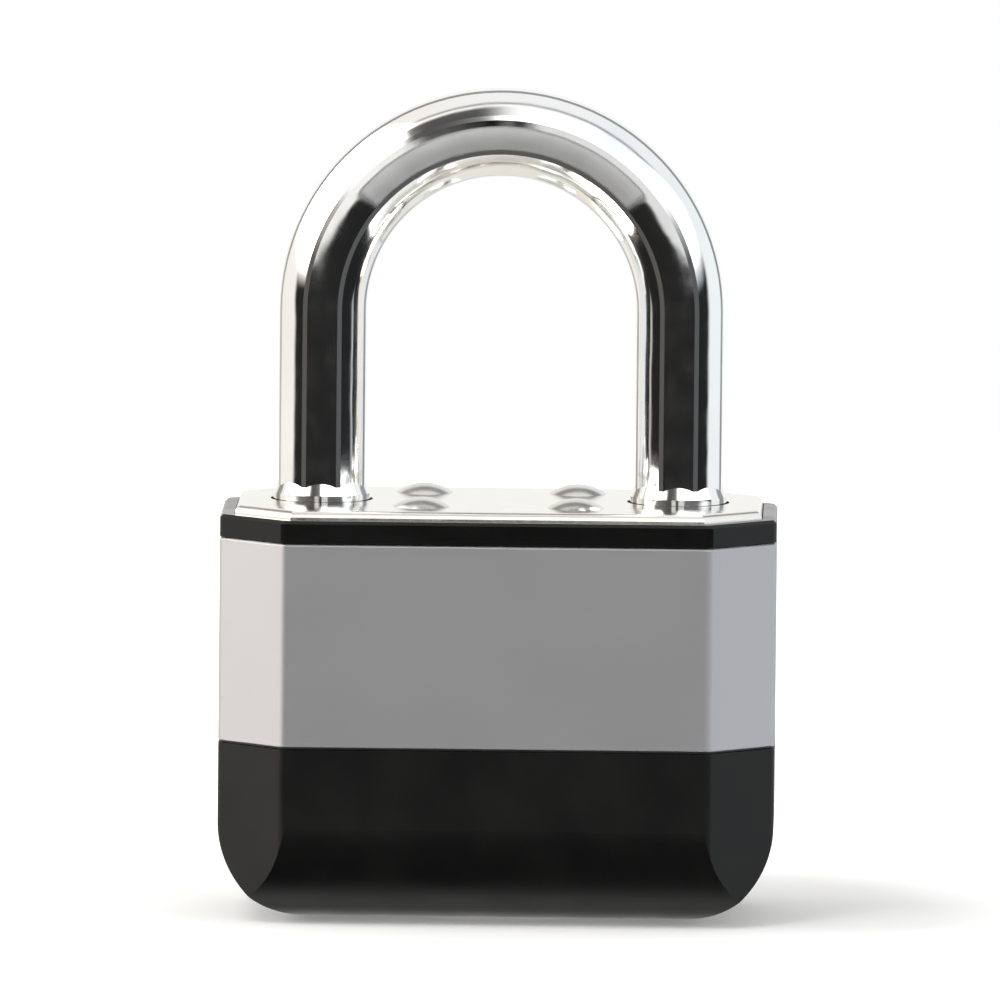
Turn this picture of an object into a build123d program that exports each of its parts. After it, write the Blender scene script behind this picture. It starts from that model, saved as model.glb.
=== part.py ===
from build123d import *
import math
import os

os.makedirs("parts", exist_ok=True)

# Sizes are in millimetres. The origin is the middle of the underside,
# +X runs across the body, +Y to the back and +Z up the shackle.

# Body outline
body_width = 63.5
body_depth = 35.0
corner_cut = 7.5
corner_soft = 1.2

# Black jacket
jacket_height = 46.2
jacket_wall = 1.6
jacket_floor = 5.2
bottom_round = 11.0
open_margin = 1.0
rim_soft = 0.35
key_well_length = 20.0
key_well_width = 15.0

# Steel band
band_low = 20.05
band_high = 43.65
band_thickness = 0.7
band_gap = 0.05
band_soft = 0.3

# Laminated stack
plate_thickness = 3.0
plate_count = 14
stack_gap = 0.1
bottom_bevel = 2.5
top_soft = 1.0
first_cover_plate = 8
first_ball_plate = 9
ball_plate_count = 3

# Rivets
rivet_x = 8.8
rivet_y = 8.6
rivet_radius = 2.0
rivet_gap = 0.05
rivet_head_radius = 3.3
rivet_head_height = 1.1
rivet_pocket_gap = 0.3

# Shackle
leg_spacing = 40.8
leg_radius = 5.55
flat_width = 10.0
facet_crown = 0.12
facet_edge = 0.3
arch_centre_z = 69.05
round_top_z = 47.9
run_out_length = 1.6
run_out_depth = 0.1
toe_end_z = 29.7
heel_foot_length = 3.0
neck_radius = 4.1
neck_low_z = 15.55
neck_high_z = 40.3
end_chamfer = 0.8
bore_gap = 0.3

# Locking balls
ball_diameter = 8.7
toe_travel = 3.0
heel_travel = 1.6
ball_engaged_x = 13.4
raceway_gap = 0.15
notch_gap = 0.15

# Cam
cam_gap = 0.05
cam_end_gap = 0.15
cam_cavity_gap = 0.3
cam_steps = 48
quarter_turn = 90.0

# Cylinder housing
housing_radius = 8.2
housing_gap = 0.1
block_reach = 18.4
block_width = 6.8
cover_strip_thickness = 0.6
cover_strip_width = 4.4
cover_strip_margin = 1.0

# Plug
plug_radius = 6.35
plug_gap = 0.05
plug_end_gap = 0.1
boss_radius = 5.4
boss_gap = 0.2
boss_recess = 0.4
keyway_width = 2.2
keyway_low = -4.6
keyway_high = 3.4
keyway_end_wall = 1.0
ward_depth = 0.8
ward_height = 1.5
ward_level = -1.2
tail_width = 6.0
tail_thickness = 2.4
tail_reach = 3.0
tail_gap = 0.1

# Retaining clip
clip_outer_radius = 6.9
clip_inner_radius = 5.6
clip_thickness = 0.8
clip_gap = 0.05
clip_mouth = 6.0

# Pins and their springs
pin_count = 5
pin_pitch = 3.8
first_pin_rise = 3.3
pin_radius = 1.45
pin_gap = 0.05
pin_chamfer = 0.3
key_pin_lengths = [4.6, 5.8, 4.0, 5.2, 3.6]
chamber_end = -0.6
driver_length = 4.6
driver_rest_gap = 0.1
driver_spring_radius = 1.0
driver_spring_wire = 0.32
driver_spring_turns = 5
driver_spring_steps = 8

# Shackle spring
lift_spring_radius = 4.2
lift_spring_wire = 1.1
lift_spring_turns = 2.5
lift_spring_steps = 12

# Places worked out from the sizes above
leg_x = leg_spacing / 2
bore_radius = leg_radius + bore_gap
stack_base = jacket_floor
stack_inset = jacket_wall + stack_gap
stack_height = plate_count * plate_thickness
stack_top = stack_base + stack_height
cylinder_base = stack_base + plate_thickness
cylinder_top = stack_base + first_cover_plate * plate_thickness
raceway_low = stack_base + first_ball_plate * plate_thickness
raceway_high = raceway_low + ball_plate_count * plate_thickness
ball_z = (raceway_low + raceway_high) / 2
ball_radius = ball_diameter / 2
cam_radius = ball_engaged_x - ball_radius - cam_gap
heel_end_z = neck_low_z - heel_foot_length
housing_top = cylinder_top - housing_gap
plug_base = cylinder_base + plug_end_gap
clip_low = housing_top + clip_gap
plug_top = clip_low + 2 * clip_thickness
cam_low = raceway_low + cam_end_gap
cam_high = raceway_high - cam_end_gap
strip_face = block_reach - cover_strip_thickness
driver_start = plug_radius + driver_rest_gap
key_pin_end = math.sqrt((plug_radius - pin_gap) ** 2 - (pin_radius - pin_chamfer) ** 2)
pin_levels = [cylinder_base + first_pin_rise + n * pin_pitch for n in range(pin_count)]


def plan(inset):
    """The body's outline seen from above, moved in by inset on every side."""
    cut = corner_cut - inset * (2 - math.sqrt(2))
    outline = Rectangle(body_width - 2 * inset, body_depth - 2 * inset)
    outline = chamfer(outline.vertices(), cut)
    soft = corner_soft - inset
    if soft > 0:
        outline = fillet(outline.vertices(), soft)
    return outline


def prism(outline, low, high):
    """An outline drawn about the origin, as a solid from one level to another."""
    return Pos(0, 0, low) * extrude(outline, high - low)


def lower_corner(half, low, rise, run):
    """The right lower corner of a bar's section, bevelled."""
    return Polyline((half, low + rise), (half - run, low))


def rounded_corner(half, low, radius):
    """The right lower corner of a bar's section, rounded."""
    return RadiusArc((half, low + radius), (half - radius, low), radius)


def bar(length, half, low, high, corner):
    """A bar along Y that stands on two shaped lower corners."""
    first = corner @ 0
    last = corner @ 1
    outline = Polyline(last, (0, low), (0, high), (half, high), first) + corner
    side = extrude(make_face(Plane.XZ * outline), length / 2, both=True)
    return side + mirror(side, Plane.YZ)


def crossed(inset, low, high, corner_of):
    """Where a bar along each axis and the body's outline overlap."""
    half_width = body_width / 2 - inset
    half_depth = body_depth / 2 - inset
    across = bar(2 * half_depth, half_width, low, high, corner_of(half_width))
    along = bar(2 * half_width, half_depth, low, high, corner_of(half_depth))
    return across & Rot(0, 0, 90) * along & prism(plan(inset), low, high)


def rounded_body(low, high):
    """The whole body's outside, with its underside rounded on all four sides."""
    return crossed(0, low, high, lambda half: rounded_corner(half, low, bottom_round))


def bevelled_body(inset, low, high):
    """The stack's shape between two levels, with its underside bevelled all round."""
    return crossed(inset, low, high, lambda half: lower_corner(half, low, bottom_bevel, bottom_bevel))


def drilled(x, y, radius, low, high):
    """The space of an upright round hole."""
    return Pos(x, y, low) * extrude(Circle(radius), high - low)


def rivet_places():
    return [(x, y) for x in (-rivet_x, rivet_x) for y in (-rivet_y, rivet_y)]


def jacket():
    """Moulded cover: bumper, wall and rim in one piece, open at the top."""
    shell = rounded_body(0, jacket_height)
    shell = chamfer(shell.faces().sort_by(Axis.Z)[-1].edges(), rim_soft)
    shell -= bevelled_body(jacket_wall, jacket_floor, jacket_height + open_margin)
    recess = prism(plan(-open_margin), band_low, band_high)
    recess -= prism(plan(band_thickness + band_gap), band_low, band_high)
    shell -= recess
    well = SlotOverall(key_well_length, key_well_width)
    shell -= prism(well, -open_margin, jacket_floor + open_margin)
    pocket_radius = rivet_head_radius + rivet_pocket_gap
    pocket_low = jacket_floor - rivet_head_height - rivet_pocket_gap
    for x, y in rivet_places():
        shell -= drilled(x, y, pocket_radius, pocket_low, jacket_floor)
    return shell


def band():
    """Thin steel sleeve let into the jacket, with its outer edges rolled over."""
    low = band_low + band_gap
    high = band_high - band_gap
    solid = prism(plan(0), low, high)
    solid = chamfer(solid.faces().sort_by(Axis.Z)[-1].edges(), band_soft)
    solid = chamfer(solid.faces().sort_by(Axis.Z)[0].edges(), band_soft)
    return solid - prism(plan(band_thickness), low, high)


def cylinder_space(low, high):
    """Room for the cylinder housing and its pin block."""
    space = drilled(0, 0, housing_radius + housing_gap, low, high)
    reach = block_reach + housing_gap
    block = Rectangle(reach, block_width + 2 * housing_gap)
    return space + prism(Pos(reach / 2, 0) * block, low, high)


def plate(index):
    """One plate of the stack, counted from the bottom, with the holes of its level."""
    low = stack_base + index * plate_thickness
    high = low + plate_thickness
    if index == 0:
        solid = bevelled_body(stack_inset, low, high)
        solid -= drilled(0, 0, boss_radius + boss_gap, low, high)
    else:
        solid = prism(plan(stack_inset), low, high)
        if index == plate_count - 1:
            solid = fillet(solid.faces().sort_by(Axis.Z)[-1].edges(), top_soft)
        solid -= drilled(-leg_x, 0, bore_radius, low, high)
    if index >= first_cover_plate:
        solid -= drilled(leg_x, 0, bore_radius, low, high)
    elif index > 0:
        solid -= cylinder_space(low, high)
    if index == first_cover_plate:
        solid -= drilled(0, 0, clip_outer_radius + housing_gap, low, high)
    if first_ball_plate <= index < first_ball_plate + ball_plate_count:
        race = Rectangle(leg_spacing, 2 * (ball_radius + raceway_gap))
        solid -= prism(race, low, high)
        solid -= drilled(0, 0, cam_radius + cam_cavity_gap, low, high)
    for x, y in rivet_places():
        solid -= drilled(x, y, rivet_radius + rivet_gap, low, high)
    return solid


def rivet_head():
    """A domed head that stands on z = 0."""
    sphere = (rivet_head_radius ** 2 + rivet_head_height ** 2) / (2 * rivet_head_height)
    ball = Pos(0, 0, rivet_head_height - sphere) * Sphere(sphere)
    return ball & Pos(0, 0, sphere) * Box(4 * sphere, 4 * sphere, 2 * sphere)


def rivets():
    """Four through rivets, headed over at both ends of the stack."""
    head = rivet_head()
    solids = []
    for x, y in rivet_places():
        rivet = drilled(0, 0, rivet_radius, stack_base, stack_top)
        rivet += Pos(0, 0, stack_top) * head
        rivet += Pos(0, 0, stack_base) * Rot(180, 0, 0) * head
        solids.append(Pos(x, y, 0) * rivet)
    return Compound(children=solids)


def leg_section():
    """Eight slightly crowned flats, two of them square to each axis, with narrow edges."""
    reach = flat_width / 2 - facet_crown
    octagon = RegularPolygon(reach, 8, major_radius=False, rotation=22.5)
    sides = []
    for edge in chamfer(octagon.vertices(), facet_edge).edges():
        middle = edge @ 0.5
        if edge.length > 2 * facet_edge:
            crown = middle + middle.normalized() * facet_crown
            edge = ThreePointArc(edge @ 0, crown, edge @ 1)
        sides.append(edge)
    return make_face(sides)


def round_leg(x, end_z):
    """The turned end of a leg, and the cone that runs out into the flats."""
    turned = drilled(x, 0, leg_radius, end_z, round_top_z)
    turned = chamfer(turned.faces().sort_by(Axis.Z)[0].edges(), end_chamfer)
    middle = round_top_z + run_out_length / 2
    cone = Cone(leg_radius, flat_width / 2 - run_out_depth, run_out_length)
    return turned + Pos(x, 0, middle) * cone


def ball_notch(side):
    """The seat that a locked ball takes in a leg."""
    place = Pos(side * ball_engaged_x, 0, ball_z)
    return place * Sphere(ball_radius + notch_gap)


def shackle():
    """Forged shackle: octagonal bow, round legs, a ball notch in each and a heel neck."""
    section = leg_section()
    bow_axis = Axis((0, 0, arch_centre_z), (0, -1, 0))
    bow = revolve(Pos(leg_x, 0, arch_centre_z) * section, bow_axis, 180)
    for x in (-leg_x, leg_x):
        bow += Pos(x, 0, round_top_z) * extrude(section, arch_centre_z - round_top_z)
    bow += round_leg(leg_x, toe_end_z)
    heel = round_leg(-leg_x, heel_end_z)
    neck_ring = Circle(leg_radius + open_margin) - Circle(neck_radius)
    heel -= Pos(-leg_x, 0, neck_low_z) * extrude(neck_ring, neck_high_z - neck_low_z)
    bow += heel
    return bow - ball_notch(1) - ball_notch(-1)


def ball(x):
    return Pos(x, 0, ball_z) * Sphere(ball_radius)


def cam_reach(angle):
    """How far the cam may reach at an angle, clear of both balls at every turn."""
    reach = cam_radius
    clear = ball_radius + cam_gap
    for start, travel in ((0, toe_travel), (180, heel_travel)):
        for step in range(cam_steps + 1):
            turned = step / cam_steps
            away = math.radians(angle - start - quarter_turn * turned)
            centre = ball_engaged_x - travel * (1 - turned)
            side = centre * math.sin(away)
            if math.cos(away) > 0 and abs(side) < clear:
                near = centre * math.cos(away) - math.sqrt(clear ** 2 - side ** 2)
                reach = min(reach, near)
    return reach


def tail_section(gap):
    return Rectangle(tail_width + 2 * gap, tail_thickness + 2 * gap)


def cam():
    """Ball cam: two rising quarters that push the balls out, slotted for the plug's tail."""
    points = []
    for step in range(cam_steps):
        angle = 360 * step / cam_steps
        reach = cam_reach(angle)
        turn = math.radians(angle)
        points.append((reach * math.cos(turn), reach * math.sin(turn)))
    outline = make_face(Polyline(*points, close=True))
    solid = prism(outline, cam_low, cam_high)
    slot_top = cam_low + tail_reach + tail_gap
    return solid - prism(tail_section(tail_gap), cam_low, slot_top)


def housing():
    """Cast cylinder housing: a round barrel and the block that holds the pin chambers."""
    solid = drilled(0, 0, housing_radius, cylinder_base, housing_top)
    block = Pos(block_reach / 2, 0) * Rectangle(block_reach, block_width)
    solid += prism(block, cylinder_base, housing_top)
    solid -= drilled(0, 0, plug_radius + plug_gap, cylinder_base, housing_top)
    for level in pin_levels:
        chamber = Plane((0, 0, level), z_dir=(1, 0, 0)) * Circle(pin_radius + pin_gap)
        solid -= extrude(chamber, block_reach)
    return solid - strip(housing_gap / 2)


def strip(gap):
    """The strip's shape, grown by gap where its groove is cut."""
    low = cylinder_base + cover_strip_margin - gap
    high = housing_top - cover_strip_margin + gap
    width = cover_strip_width + 2 * gap
    outline = Pos(block_reach - cover_strip_thickness / 2, 0) * Rectangle(
        cover_strip_thickness, width
    )
    return prism(outline, low, high)


def keyway():
    """The key's slot, seen from below, with one ward along its side."""
    height = keyway_high - keyway_low
    slot = Pos(0, (keyway_high + keyway_low) / 2) * Rectangle(keyway_width, height)
    ward_x = (keyway_width - ward_depth) / 2
    return slot - Pos(ward_x, ward_level) * Rectangle(ward_depth, ward_height)


def plug():
    """Turning core: nose, barrel, clip groove and tail, with keyway and pin chambers."""
    nose_low = stack_base + boss_recess
    solid = drilled(0, 0, plug_radius, plug_base, plug_top)
    solid += drilled(0, 0, boss_radius, nose_low, plug_base)
    clip_high = clip_low + clip_thickness
    groove = Circle(plug_radius + open_margin) - Circle(clip_inner_radius)
    solid -= prism(groove, clip_low, clip_high)
    solid += prism(tail_section(0), plug_top, cam_low + tail_reach)
    solid -= prism(keyway(), nose_low, housing_top - keyway_end_wall)
    for level in pin_levels:
        chamber = Plane((0, chamber_end, level), z_dir=(0, 1, 0))
        solid -= extrude(chamber * Circle(pin_radius + pin_gap), plug_radius - chamber_end)
    return solid


def retaining_clip():
    """Spring clip in the plug's groove, open on one side."""
    ring = Circle(clip_outer_radius) - Circle(clip_inner_radius)
    ring -= Pos(-clip_outer_radius, 0) * Rectangle(2 * clip_outer_radius, clip_mouth)
    return prism(ring, clip_low, clip_low + clip_thickness)


def pin(length):
    """A plain pin along Z from the origin, with both ends chamfered."""
    solid = extrude(Circle(pin_radius), length)
    return chamfer(solid.edges().filter_by(GeomType.CIRCLE), pin_chamfer)


def key_pin(index):
    """A key pin in the turned plug, its outer end at the shear line."""
    inner_end = key_pin_end - key_pin_lengths[index]
    place = Plane((0, inner_end, pin_levels[index]), z_dir=(0, 1, 0))
    return place * pin(key_pin_lengths[index])


def driver_pin(index):
    """A driver pin in the housing, its inner end at the shear line."""
    return Plane((driver_start, 0, pin_levels[index]), z_dir=(1, 0, 0)) * pin(driver_length)


def coil(radius, wire, length, turns, steps):
    """An open coil of square wire about Z, standing on z = 0."""
    count = int(turns * steps)
    sections = []
    for step in range(count + 1):
        turn = 2 * math.pi * step / steps
        level = wire / 2 + (length - wire) * step / count
        outward = (math.cos(turn), math.sin(turn), 0)
        onward = (-math.sin(turn), math.cos(turn), 0)
        centre = (radius * outward[0], radius * outward[1], level)
        sections.append(Plane(centre, x_dir=outward, z_dir=onward) * Rectangle(wire, wire))
    return loft(sections, ruled=True)


def driver_spring(index):
    """The coil between a driver pin and the cover strip."""
    start = driver_start + driver_length
    spring = coil(
        driver_spring_radius,
        driver_spring_wire,
        strip_face - start,
        driver_spring_turns,
        driver_spring_steps,
    )
    return Plane((start, 0, pin_levels[index]), z_dir=(1, 0, 0)) * spring


def lift_spring():
    """The coil under the heel, pressed flat while the shackle is shut."""
    length = heel_end_z - cylinder_base
    spring = coil(
        lift_spring_radius,
        lift_spring_wire,
        length,
        lift_spring_turns,
        lift_spring_steps,
    )
    return Pos(-leg_x, 0, cylinder_base) * spring


parts = {
    "jacket": jacket(),
    "steel_band": band(),
    "rivets": rivets(),
    "shackle": shackle(),
    "shackle_spring": lift_spring(),
    "toe_ball": ball(ball_engaged_x - toe_travel),
    "heel_ball": ball(heel_travel - ball_engaged_x),
    "ball_cam": cam(),
    "cylinder_housing": housing(),
    "chamber_strip": strip(0),
    "plug": plug(),
    "retaining_clip": retaining_clip(),
}
for number in range(plate_count):
    parts[f"plate_{number + 1:02d}"] = plate(number)
for number in range(pin_count):
    parts[f"key_pin_{number + 1}"] = key_pin(number)
    parts[f"driver_pin_{number + 1}"] = driver_pin(number)
    parts[f"driver_spring_{number + 1}"] = driver_spring(number)

for name, solid in parts.items():
    export_step(solid, f"parts/{name}.step")
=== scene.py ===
import math

import bmesh
import bpy
from mathutils import Matrix, Vector


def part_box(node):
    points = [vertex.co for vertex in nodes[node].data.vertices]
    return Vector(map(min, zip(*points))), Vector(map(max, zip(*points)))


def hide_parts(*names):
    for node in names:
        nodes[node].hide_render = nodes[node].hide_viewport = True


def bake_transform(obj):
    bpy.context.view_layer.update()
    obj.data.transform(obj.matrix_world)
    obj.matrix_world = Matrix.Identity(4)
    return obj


# Lengths are in metres. The origin is the middle of the underside,
# +X runs across the body, +Y to the back and +Z up the bow.

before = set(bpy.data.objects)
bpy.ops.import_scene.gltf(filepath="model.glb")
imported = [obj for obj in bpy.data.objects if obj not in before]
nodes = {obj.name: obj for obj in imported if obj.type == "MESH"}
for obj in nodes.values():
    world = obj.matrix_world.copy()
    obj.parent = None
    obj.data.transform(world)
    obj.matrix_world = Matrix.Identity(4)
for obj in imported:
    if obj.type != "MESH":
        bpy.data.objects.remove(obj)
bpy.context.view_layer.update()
scene = bpy.context.scene
scene.view_settings.view_transform = "Standard"


def new_material(name):
    """A material with its node tree, its main shader and a place in the object's own axes."""
    material = bpy.data.materials.new(name)
    material.use_nodes = True
    tree = material.node_tree
    shader = tree.nodes["Principled BSDF"]
    place = tree.nodes.new("ShaderNodeTexCoord").outputs["Object"]
    return material, tree, shader, place


def stretched(tree, place, scale):
    """The place in the object, stretched by a different amount along each axis."""
    mapping = tree.nodes.new("ShaderNodeMapping")
    mapping.inputs["Scale"].default_value = scale
    tree.links.new(place, mapping.inputs["Vector"])
    return mapping.outputs["Vector"]


def axes(tree, vector):
    """The three parts of a place or of a direction."""
    parts = tree.nodes.new("ShaderNodeSeparateXYZ")
    tree.links.new(vector, parts.inputs["Vector"])
    return parts.outputs


def noise(tree, place, scale, detail, roughness=0.5):
    """Soft noise from 0 to 1, finer as its scale grows."""
    node = tree.nodes.new("ShaderNodeTexNoise")
    node.inputs["Scale"].default_value = scale
    node.inputs["Detail"].default_value = detail
    node.inputs["Roughness"].default_value = roughness
    tree.links.new(place, node.inputs["Vector"])
    return node.outputs["Fac"]


def levels(tree, value, low, high, to_low, to_high, curve="LINEAR"):
    """A value spread from one range to another, and held at its ends."""
    node = tree.nodes.new("ShaderNodeMapRange")
    node.interpolation_type = curve
    node.inputs["From Min"].default_value = low
    node.inputs["From Max"].default_value = high
    node.inputs["To Min"].default_value = to_low
    node.inputs["To Max"].default_value = to_high
    tree.links.new(value, node.inputs["Value"])
    return node.outputs["Result"]


def maths(tree, operation, first, second=0):
    """One operation on two values, each a number or a node's output."""
    node = tree.nodes.new("ShaderNodeMath")
    node.operation = operation
    for socket, value in zip(node.inputs, (first, second)):
        if isinstance(value, (int, float)):
            socket.default_value = value
        else:
            tree.links.new(value, socket)
    return node.outputs["Value"]


def between(tree, value, low, high, soft):
    """1 where the value lies between two limits, with soft ends."""
    rising = levels(tree, value, low - soft, low + soft, 0, 1)
    falling = levels(tree, value, high - soft, high + soft, 1, 0)
    return maths(tree, "MULTIPLY", rising, falling)


# Sockets of a mix node that mixes colours
mix_share = 0
mix_first = 6
mix_second = 7
mix_result = 2


def tinted(tree, value, first, second):
    """A colour that goes from the first to the second as the value goes from 0 to 1."""
    node = tree.nodes.new("ShaderNodeMix")
    node.data_type = "RGBA"
    for socket, colour in ((mix_first, first), (mix_second, second)):
        if isinstance(colour, tuple):
            node.inputs[socket].default_value = (*colour, 1)
        else:
            tree.links.new(colour, node.inputs[socket])
    tree.links.new(value, node.inputs[mix_share])
    return node.outputs[mix_result]


def bumped(tree, shader, heights):
    """Adds up bumps, each a height, its depth in metres and its strength."""
    normal = None
    for height, depth, strength in heights:
        bump = tree.nodes.new("ShaderNodeBump")
        bump.inputs["Strength"].default_value = strength
        bump.inputs["Distance"].default_value = depth
        tree.links.new(height, bump.inputs["Height"])
        if normal is not None:
            tree.links.new(normal, bump.inputs["Normal"])
        normal = bump.outputs["Normal"]
    tree.links.new(normal, shader.inputs["Normal"])


# The part of noise's range that is spread out, in patches and in finer marks
noise_span = (0.3, 0.7)
fine_span = (0.35, 0.65)

# Chrome of the bow, where a bump is its depth and its strength
chrome_dark = (0.88, 0.88, 0.88)
chrome_light = (0.94, 0.94, 0.935)
chrome_roughness = (0.05, 0.1)
wave_scale = 90
wave_bump = (0.0004, 0.25)
haze_scale = 420
haze_bump = (0.00001, 0.2)

# Satin band on the crown's front and back flats
arch_centre = 0.06905
satin_inner = 0.0186
satin_outer = 0.0213
satin_edge = 0.0002
satin_depth = (0.00475, 0.0049)
satin_slope = (0.61, 0.67)
satin_roughness = (0.46, 0.475)
frost_scale = 1500

# Black plastic, and the glossier rim at the top of the jacket
plastic_dark = (0.004, 0.004, 0.0041)
plastic_light = (0.007, 0.007, 0.0068)
plastic_roughness = (0.36, 0.46)
plastic_shine = 0.35
patch_scale = 120
patch_bump = (0.00005, 0.15)
grain_scale = 5200
grain_bump = (0.00002, 0.35)
rim_heights = (0.0430, 0.0438)
rim_gloss = 0.2


def metal(name, dark, light, roughness, patch, grain, stretch=(1, 1, 1), depth=0.00001):
    """A metal whose tint and gloss drift in patches, with fine marks along its grain."""
    material, tree, shader, place = new_material(name)
    shader.inputs["Metallic"].default_value = 1.0
    patches = noise(tree, place, patch, detail=4.0)
    marks = noise(tree, stretched(tree, place, stretch), grain, detail=5.0, roughness=0.6)
    tint = tinted(tree, levels(tree, patches, *noise_span, 0, 1), dark, light)
    tree.links.new(tint, shader.inputs["Base Color"])
    mixed = maths(tree, "MULTIPLY", maths(tree, "ADD", patches, marks), 0.5)
    tree.links.new(levels(tree, mixed, *fine_span, *roughness), shader.inputs["Roughness"])
    bumped(tree, shader, [(marks, depth, 0.5)])
    return material


def satin_band(tree, place):
    """1 in a band that follows the arch on the crown's two flats, and 0 elsewhere."""
    x, y, z = axes(tree, place)
    above = maths(tree, "SUBTRACT", z, arch_centre)
    squares = maths(tree, "ADD", maths(tree, "MULTIPLY", x, x), maths(tree, "MULTIPLY", above, above))
    radius = maths(tree, "SQRT", squares)
    slope = maths(tree, "DIVIDE", above, radius)
    on_flat = levels(tree, maths(tree, "ABSOLUTE", y), *satin_depth, 0, 1)
    on_ring = between(tree, radius, satin_inner, satin_outer, satin_edge)
    on_crown = levels(tree, slope, *satin_slope, 0, 1, "SMOOTHSTEP")
    return maths(tree, "MULTIPLY", on_flat, maths(tree, "MULTIPLY", on_crown, on_ring))


def chrome():
    """Polished plate over a slightly wavy forging, with a satin band on the crown's two flats."""
    material, tree, shader, place = new_material("chrome")
    shader.inputs["Metallic"].default_value = 1.0
    waves = noise(tree, place, wave_scale, detail=2.0)
    haze = noise(tree, place, haze_scale, detail=4.0)
    frost = noise(tree, place, frost_scale, detail=4.0)
    tint = tinted(tree, levels(tree, waves, *noise_span, 0, 1), chrome_dark, chrome_light)
    tree.links.new(tint, shader.inputs["Base Color"])
    polish = levels(tree, haze, *noise_span, *chrome_roughness)
    frosted = levels(tree, frost, *fine_span, *satin_roughness)
    dull = maths(tree, "MULTIPLY", satin_band(tree, place), frosted)
    tree.links.new(maths(tree, "ADD", polish, dull), shader.inputs["Roughness"])
    bumped(tree, shader, [(waves, *wave_bump), (haze, *haze_bump)])
    return material


def plastic():
    """Black moulding: grained bumper, and a smoother, glossier rim at the top."""
    material, tree, shader, place = new_material("black plastic")
    shader.inputs["Specular IOR Level"].default_value = plastic_shine
    rim = levels(tree, axes(tree, place)["Z"], *rim_heights, 0, 1)
    patches = noise(tree, place, patch_scale, detail=4.0)
    grain = noise(tree, place, grain_scale, detail=2.0)
    tint = tinted(tree, levels(tree, patches, *noise_span, 0, 1), plastic_dark, plastic_light)
    tree.links.new(tint, shader.inputs["Base Color"])
    body = levels(tree, patches, *noise_span, *plastic_roughness)
    roughness = maths(tree, "SUBTRACT", body, maths(tree, "MULTIPLY", rim, rim_gloss))
    tree.links.new(roughness, shader.inputs["Roughness"])
    bumped(tree, shader, [(patches, *patch_bump), (grain, *grain_bump)])
    return material


materials = {
    "bright_chrome": chrome(),
    "black_plastic": plastic(),
    "satin_steel": metal(
        "satin steel",
        dark=(0.656, 0.652, 0.676),
        light=(0.668, 0.664, 0.687),
        roughness=(0.5, 0.53),
        patch=60,
        grain=1100,
        stretch=(0.03, 0.03, 4),
        depth=0.000008,
    ),
    "nickel_plate": metal(
        "nickel plate",
        dark=(0.88, 0.85, 0.79),
        light=(0.95, 0.925, 0.87),
        roughness=(0.1, 0.2),
        patch=150,
        grain=900,
        depth=0.000008,
    ),
    "rivet_steel": metal(
        "rivet steel",
        dark=(0.70, 0.69, 0.66),
        light=(0.82, 0.81, 0.78),
        roughness=(0.14, 0.26),
        patch=400,
        grain=1500,
    ),
    "plate_steel": metal(
        "plate steel",
        dark=(0.42, 0.42, 0.42),
        light=(0.55, 0.55, 0.54),
        roughness=(0.3, 0.42),
        patch=120,
        grain=1200,
        stretch=(1, 1, 3),
    ),
    "brass": metal(
        "brass",
        dark=(0.66, 0.47, 0.2),
        light=(0.78, 0.6, 0.3),
        roughness=(0.2, 0.32),
        patch=200,
        grain=1600,
        stretch=(1, 1, 2),
    ),
    "zinc": metal(
        "cast zinc",
        dark=(0.48, 0.49, 0.51),
        light=(0.6, 0.61, 0.62),
        roughness=(0.38, 0.5),
        patch=300,
        grain=1400,
        depth=0.00002,
    ),
    "ball_steel": metal(
        "ball steel",
        dark=(0.68, 0.68, 0.69),
        light=(0.78, 0.78, 0.78),
        roughness=(0.08, 0.14),
        patch=250,
        grain=2000,
    ),
    "spring_steel": metal(
        "spring steel",
        dark=(0.32, 0.32, 0.34),
        light=(0.46, 0.46, 0.47),
        roughness=(0.24, 0.36),
        patch=350,
        grain=1800,
    ),
}

# Material of each node, where inner plates and driver springs go by name and the pins are brass
slots = {
    "jacket": "black_plastic",
    "steel_band": "satin_steel",
    "rivets": "rivet_steel",
    "shackle": "bright_chrome",
    "shackle_spring": "spring_steel",
    "toe_ball": "ball_steel",
    "heel_ball": "ball_steel",
    "ball_cam": "zinc",
    "cylinder_housing": "brass",
    "chamber_strip": "brass",
    "plug": "brass",
    "retaining_clip": "spring_steel",
    "plate_14": "nickel_plate",
}
for name, node in nodes.items():
    slot = slots.get(name)
    if slot is None and name.startswith("plate"):
        slot = "plate_steel"
    if slot is None and name.startswith("driver_spring"):
        slot = "spring_steel"
    if slot is None:
        slot = "brass"
    node.data.materials.clear()
    node.data.materials.append(materials[slot])

# Round-wire springs
coil_steps = 24
wire_sides = 10
driver_wire = 0.00032
driver_turns = 5
lift_wire = 0.0011
lift_turns = 2.5
pin_count = 5
across_body = Vector((1, 0, 0))
upward = Vector((0, 0, 1))


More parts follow.
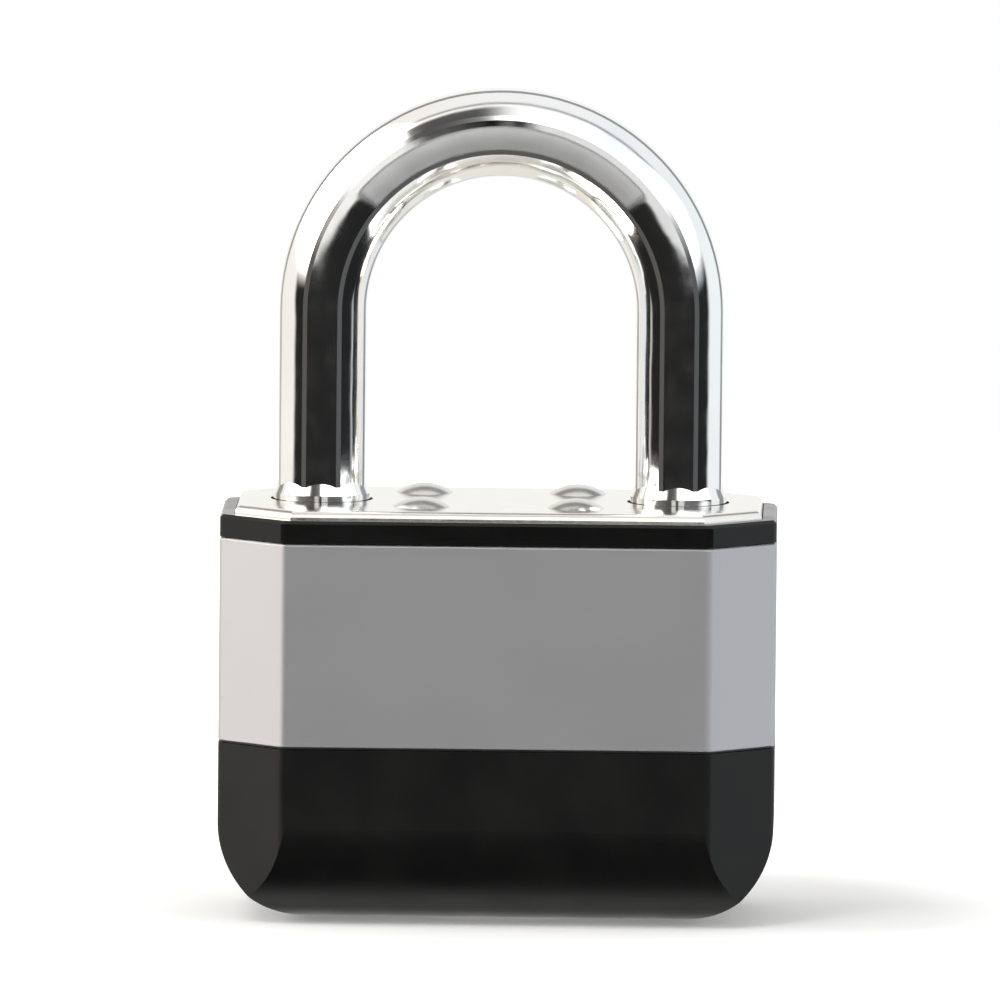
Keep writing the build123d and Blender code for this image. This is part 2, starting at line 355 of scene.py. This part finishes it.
def coil(name, start, along, across, radius, wire, length, turns):
    """A coil of round wire that stands at a place and runs along one axis."""
    form = bmesh.new()
    side = along.cross(across)
    count = int(turns * coil_steps)
    rings = []
    for step in range(count + 1):
        turn = 2 * math.pi * step / coil_steps
        outward = across * math.cos(turn) + side * math.sin(turn)
        level = wire / 2 + (length - wire) * step / count
        middle = start + along * level + outward * radius
        ring = []
        for corner in range(wire_sides):
            angle = 2 * math.pi * corner / wire_sides
            offset = outward * math.cos(angle) + along * math.sin(angle)
            ring.append(form.verts.new(middle + offset * wire / 2))
        rings.append(ring)
    for first, second in zip(rings, rings[1:]):
        for corner in range(wire_sides):
            after = (corner + 1) % wire_sides
            form.faces.new((first[corner], first[after], second[after], second[corner]))
    form.faces.new(rings[0])
    form.faces.new(rings[-1])
    bmesh.ops.recalc_face_normals(form, faces=form.faces)
    for face in form.faces:
        face.smooth = len(face.verts) == 4
    mesh = bpy.data.meshes.new(name)
    form.to_mesh(mesh)
    form.free()
    piece = bpy.data.objects.new(name, mesh)
    scene.collection.objects.link(piece)
    return piece


def spring(node, along, across, wire, turns):
    """A round-wire coil of spring steel that fills a spring's box, in place of the spring's own node,
    which it hides.
    """
    low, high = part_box(node)
    size = high - low
    length = size.dot(along)
    start = (low + high) / 2 - along * length / 2
    radius = size.dot(across) / 2 - wire / 2
    piece = coil(f"{node}_coil", start, along, across, radius, wire, length, turns)
    piece.data.materials.append(materials["spring_steel"])
    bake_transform(piece)
    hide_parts(node)


for number in range(1, pin_count + 1):
    spring(
        f"driver_spring_{number}",
        across_body,
        upward,
        driver_wire,
        driver_turns,
    )
spring("shackle_spring", upward, across_body, lift_wire, lift_turns)

# Light of the studio by its direction: x to the right, y to the back and z up.
# A pair is where a change starts and where it ends.
side_span = (-0.5, 0.5)

# Wide soft box above the front, which is lower and brighter on the left
box_low_left = 0.35
box_low_right = 0.5
box_edge = 0.06
box_front = (-0.12, -0.08)
box_left = 1.0
box_right = 0.8

# Faint ring of light round the front, and the room, which gets brighter above the horizon
glow_low = -0.85
glow_high = -0.5
glow_edge = 0.1
glow_strength = 0.09
room_rise = (0.12, 0.24)
room_low = 0.018
room_high = 0.35

# Round soft lights: direction, angles where each is full and gone, strength
soft_lights = [
    ((-1.2, -0.25, 0.78), 8, 32, 6.7),
    ((1.2, -0.5, 0.6), 5, 26, 2.2),
    ((0.3, -0.8, 0.7), 10, 32, 2.35),
]

# Two pale walls low in front, left and right of the middle
wall_low = -0.028
wall_high = 0.13
wall_edge = 0.012
wall_front = (-0.9, -0.8)
left_wall = 1.0
left_wall_start = (-0.3, -0.24)
left_wall_end = (-0.06, -0.04)
right_wall = 0.85
right_wall_start = (-0.01, 0.02)
right_wall_end = (0.22, 0.28)

# White backdrop, which starts further back below, with a darker ring in it
backdrop_start = (-0.09, -0.03)
backdrop_fall = (-0.35, -0.12)
backdrop_shift = 0.085
ring_near = 0.45
ring_far = 0.74
ring_edge = 0.05
ring_shade = 0.7

# Dark cloth in front, from the horizon to overhead, left of the middle
cloth_pivot = 0.1
cloth_left = (-0.64, -0.52)
cloth_right = (-0.14, 0.1)
cloth_end = (-0.18, -0.12)
cloth_foot = (-0.06, -0.02)
cloth_shade = 0.93

# Warm light on the left, cool light on the right, and what fills the shadows
warm_span = (-0.7, 0.7)
warm = (1, 0.955, 0.89)
cool = (0.93, 0.97, 1)
white = (1, 1, 1)
fill_colour = (1, 0.99, 0.97, 1)
fill_strength = 0.6


def background_ray(tree):
    """1 for rays that show the backdrop: straight, reflected or seen through glass."""
    light_path = tree.nodes.new("ShaderNodeLightPath").outputs
    seen = maths(tree, "MAXIMUM", light_path["Is Camera Ray"], light_path["Is Glossy Ray"])
    return maths(tree, "MAXIMUM", seen, light_path["Is Transmission Ray"])


def soft_light(tree, direction, towards, inner, outer, strength):
    """A round soft light, bright within one angle and gone at another."""
    node = tree.nodes.new("ShaderNodeVectorMath")
    node.operation = "DOT_PRODUCT"
    tree.links.new(direction, node.inputs[0])
    node.inputs[1].default_value = Vector(towards).normalized()
    low = math.cos(math.radians(outer))
    high = math.cos(math.radians(inner))
    return levels(tree, node.outputs["Value"], low, high, 0, strength, "SMOOTHSTEP")


def wall(tree, x, start, end, strength):
    """A pale wall that starts and ends softly from left to right."""
    rising = levels(tree, x, *start, 0, 1)
    return maths(tree, "MULTIPLY", rising, levels(tree, x, *end, strength, 0))


def low_walls(tree, x, y, z):
    """The two pale walls low in front."""
    left = wall(tree, x, left_wall_start, left_wall_end, left_wall)
    right = wall(tree, x, right_wall_start, right_wall_end, right_wall)
    height = between(tree, z, wall_low, wall_high, wall_edge)
    reach = maths(tree, "MULTIPLY", height, levels(tree, y, *wall_front, 1, 0))
    return maths(tree, "MULTIPLY", maths(tree, "ADD", left, right), reach)


def front_light(tree, direction, x, y, z):
    """The dark room in front, with its glow, soft box, round lights and pale walls."""
    glow = maths(tree, "MULTIPLY", between(tree, y, glow_low, glow_high, glow_edge), glow_strength)
    front = maths(tree, "ADD", glow, levels(tree, z, *room_rise, room_low, room_high))
    lowest = levels(tree, x, *side_span, box_low_left, box_low_right)
    over = levels(tree, maths(tree, "SUBTRACT", z, lowest), -box_edge, box_edge, 0, 1)
    box = maths(tree, "MULTIPLY", over, levels(tree, y, *box_front, 1, 0))
    shade = levels(tree, x, *side_span, box_left, box_right)
    front = maths(tree, "ADD", front, maths(tree, "MULTIPLY", box, shade))
    for lamp in soft_lights:
        front = maths(tree, "ADD", front, soft_light(tree, direction, *lamp))
    return maths(tree, "ADD", front, low_walls(tree, x, y, z))


def back_light(tree, y, z):
    """The white backdrop with its darker ring."""
    ring = maths(tree, "MULTIPLY", between(tree, y, ring_near, ring_far, ring_edge), ring_shade)
    further = maths(tree, "SUBTRACT", y, levels(tree, z, *backdrop_fall, backdrop_shift, 0))
    return maths(tree, "SUBTRACT", levels(tree, further, *backdrop_start, 0, 1), ring)


def dark_cloth(tree, x, y, z):
    """The share of the light that the dark cloth takes away."""
    lean = maths(tree, "DIVIDE", x, maths(tree, "ADD", z, cloth_pivot))
    left = levels(tree, lean, *cloth_left, 0, 1, "SMOOTHSTEP")
    right = levels(tree, lean, *cloth_right, 1, 0, "SMOOTHSTEP")
    cloth = maths(tree, "MULTIPLY", left, right)
    cloth = maths(tree, "MULTIPLY", cloth, levels(tree, y, *cloth_end, 1, 0))
    return maths(tree, "MULTIPLY", cloth, levels(tree, z, *cloth_foot, 0, cloth_shade))


def studio():
    """White where it is seen straight, the lit studio in reflections, and an even fill."""
    world = bpy.data.worlds.new("studio")
    world.use_nodes = True
    tree = world.node_tree
    direction = tree.nodes.new("ShaderNodeTexCoord").outputs["Generated"]
    x, y, z = axes(tree, direction)
    light = maths(tree, "MAXIMUM", front_light(tree, direction, x, y, z), back_light(tree, y, z))
    light = maths(tree, "MULTIPLY", light, maths(tree, "SUBTRACT", 1, dark_cloth(tree, x, y, z)))
    straight = tree.nodes.new("ShaderNodeLightPath").outputs["Is Camera Ray"]
    backdrop = tree.nodes["Background"]
    tree.links.new(maths(tree, "MAXIMUM", straight, light), backdrop.inputs["Strength"])
    warmth = tinted(tree, levels(tree, x, *warm_span, 0, 1), warm, cool)
    tree.links.new(tinted(tree, straight, warmth, white), backdrop.inputs["Color"])
    fill = tree.nodes.new("ShaderNodeBackground")
    fill.inputs["Color"].default_value = fill_colour
    fill.inputs["Strength"].default_value = fill_strength
    both = tree.nodes.new("ShaderNodeMixShader")
    tree.links.new(background_ray(tree), both.inputs[0])
    tree.links.new(fill.outputs[0], both.inputs[1])
    tree.links.new(backdrop.outputs[0], both.inputs[2])
    tree.links.new(both.outputs[0], tree.nodes["World Output"].inputs["Surface"])
    return world


scene.world = studio()

# Pale floor
floor_side = 0.4
floor_front = -0.4
floor_back = 0.6
floor_drop = -0.0003
floor_colour = (0.82, 0.82, 0.81, 1)
floor_roughness = 0.9
fade_span = (0.05, 0.12)
fade_near = 0.22


def sheet(name, corners, material):
    """A flat stage piece that gives the lock no reflection and no bounced light."""
    mesh = bpy.data.meshes.new(name)
    mesh.from_pydata(corners, [], [(0, 1, 2, 3)])
    mesh.materials.append(material)
    piece = bpy.data.objects.new(name, mesh)
    scene.collection.objects.link(piece)
    piece.visible_diffuse = False
    piece.visible_glossy = False


def floor_material():
    """Pale floor that keeps the shadow near the lock and fades to the white backdrop."""
    material, tree, shader, place = new_material("floor")
    shader.inputs["Base Color"].default_value = floor_colour
    shader.inputs["Roughness"].default_value = floor_roughness
    length = tree.nodes.new("ShaderNodeVectorMath")
    length.operation = "LENGTH"
    tree.links.new(place, length.inputs[0])
    away = levels(tree, length.outputs["Value"], *fade_span, fade_near, 1)
    glow = tree.nodes.new("ShaderNodeEmission")
    tree.links.new(maths(tree, "MULTIPLY", away, background_ray(tree)), glow.inputs["Strength"])
    total = tree.nodes.new("ShaderNodeAddShader")
    tree.links.new(shader.outputs[0], total.inputs[0])
    tree.links.new(glow.outputs[0], total.inputs[1])
    clear = tree.nodes.new("ShaderNodeBsdfTransparent")
    underside = tree.nodes.new("ShaderNodeNewGeometry").outputs["Backfacing"]
    one_sided = tree.nodes.new("ShaderNodeMixShader")
    tree.links.new(underside, one_sided.inputs[0])
    tree.links.new(total.outputs[0], one_sided.inputs[1])
    tree.links.new(clear.outputs[0], one_sided.inputs[2])
    tree.links.new(one_sided.outputs[0], tree.nodes["Material Output"].inputs["Surface"])
    return material


sheet(
    "floor",
    [
        (-floor_side, floor_front, floor_drop),
        (floor_side, floor_front, floor_drop),
        (floor_side, floor_back, floor_drop),
        (-floor_side, floor_back, floor_drop),
    ],
    floor_material(),
)

# Lamps
lamp_aim = Vector((0, 0, 0.05))


def soft_box(name, place, size, power, colour):
    """A round lamp that points at the lock and doesn't show in reflections."""
    light = bpy.data.lights.new(name, "AREA")
    light.shape = "DISK"
    light.size = size
    light.energy = power
    light.color = colour
    lamp = bpy.data.objects.new(name, light)
    scene.collection.objects.link(lamp)
    lamp.visible_glossy = False
    lamp.location = place
    lamp.rotation_mode = "QUATERNION"
    lamp.rotation_quaternion = (Vector(place) - lamp_aim).to_track_quat("Z", "Y")


soft_box("key", (-0.5, -0.6, 1.2), size=0.6, power=6, colour=(1, 0.985, 0.96))
soft_box("left", (-1.2, -0.15, 0.55), size=0.8, power=9, colour=(1, 0.985, 0.95))
soft_box("right", (1.2, -0.25, 0.45), size=0.7, power=3, colour=(0.97, 0.985, 1))

# Camera
azimuth = math.radians(1.0)
elevation = math.radians(5.5)
roll = math.radians(0.55)
distance = 2.4
aim = Vector((0, 0, 0.0472))
back = Vector(
    (
        math.sin(azimuth) * math.cos(elevation),
        -math.cos(azimuth) * math.cos(elevation),
        math.sin(elevation),
    )
)
lens = bpy.data.cameras.new("camera")
lens.lens = 755
lens.sensor_width = 36
lens.clip_start = 0.1
lens.clip_end = 20
camera = bpy.data.objects.new("camera", lens)
scene.collection.objects.link(camera)
camera.rotation_mode = "QUATERNION"
turned = Matrix.Rotation(roll, 3, back)
camera.rotation_quaternion = (turned @ (-back).to_track_quat("-Z", "Y").to_matrix()).to_quaternion()
camera.location = aim + back * distance
scene.camera = camera
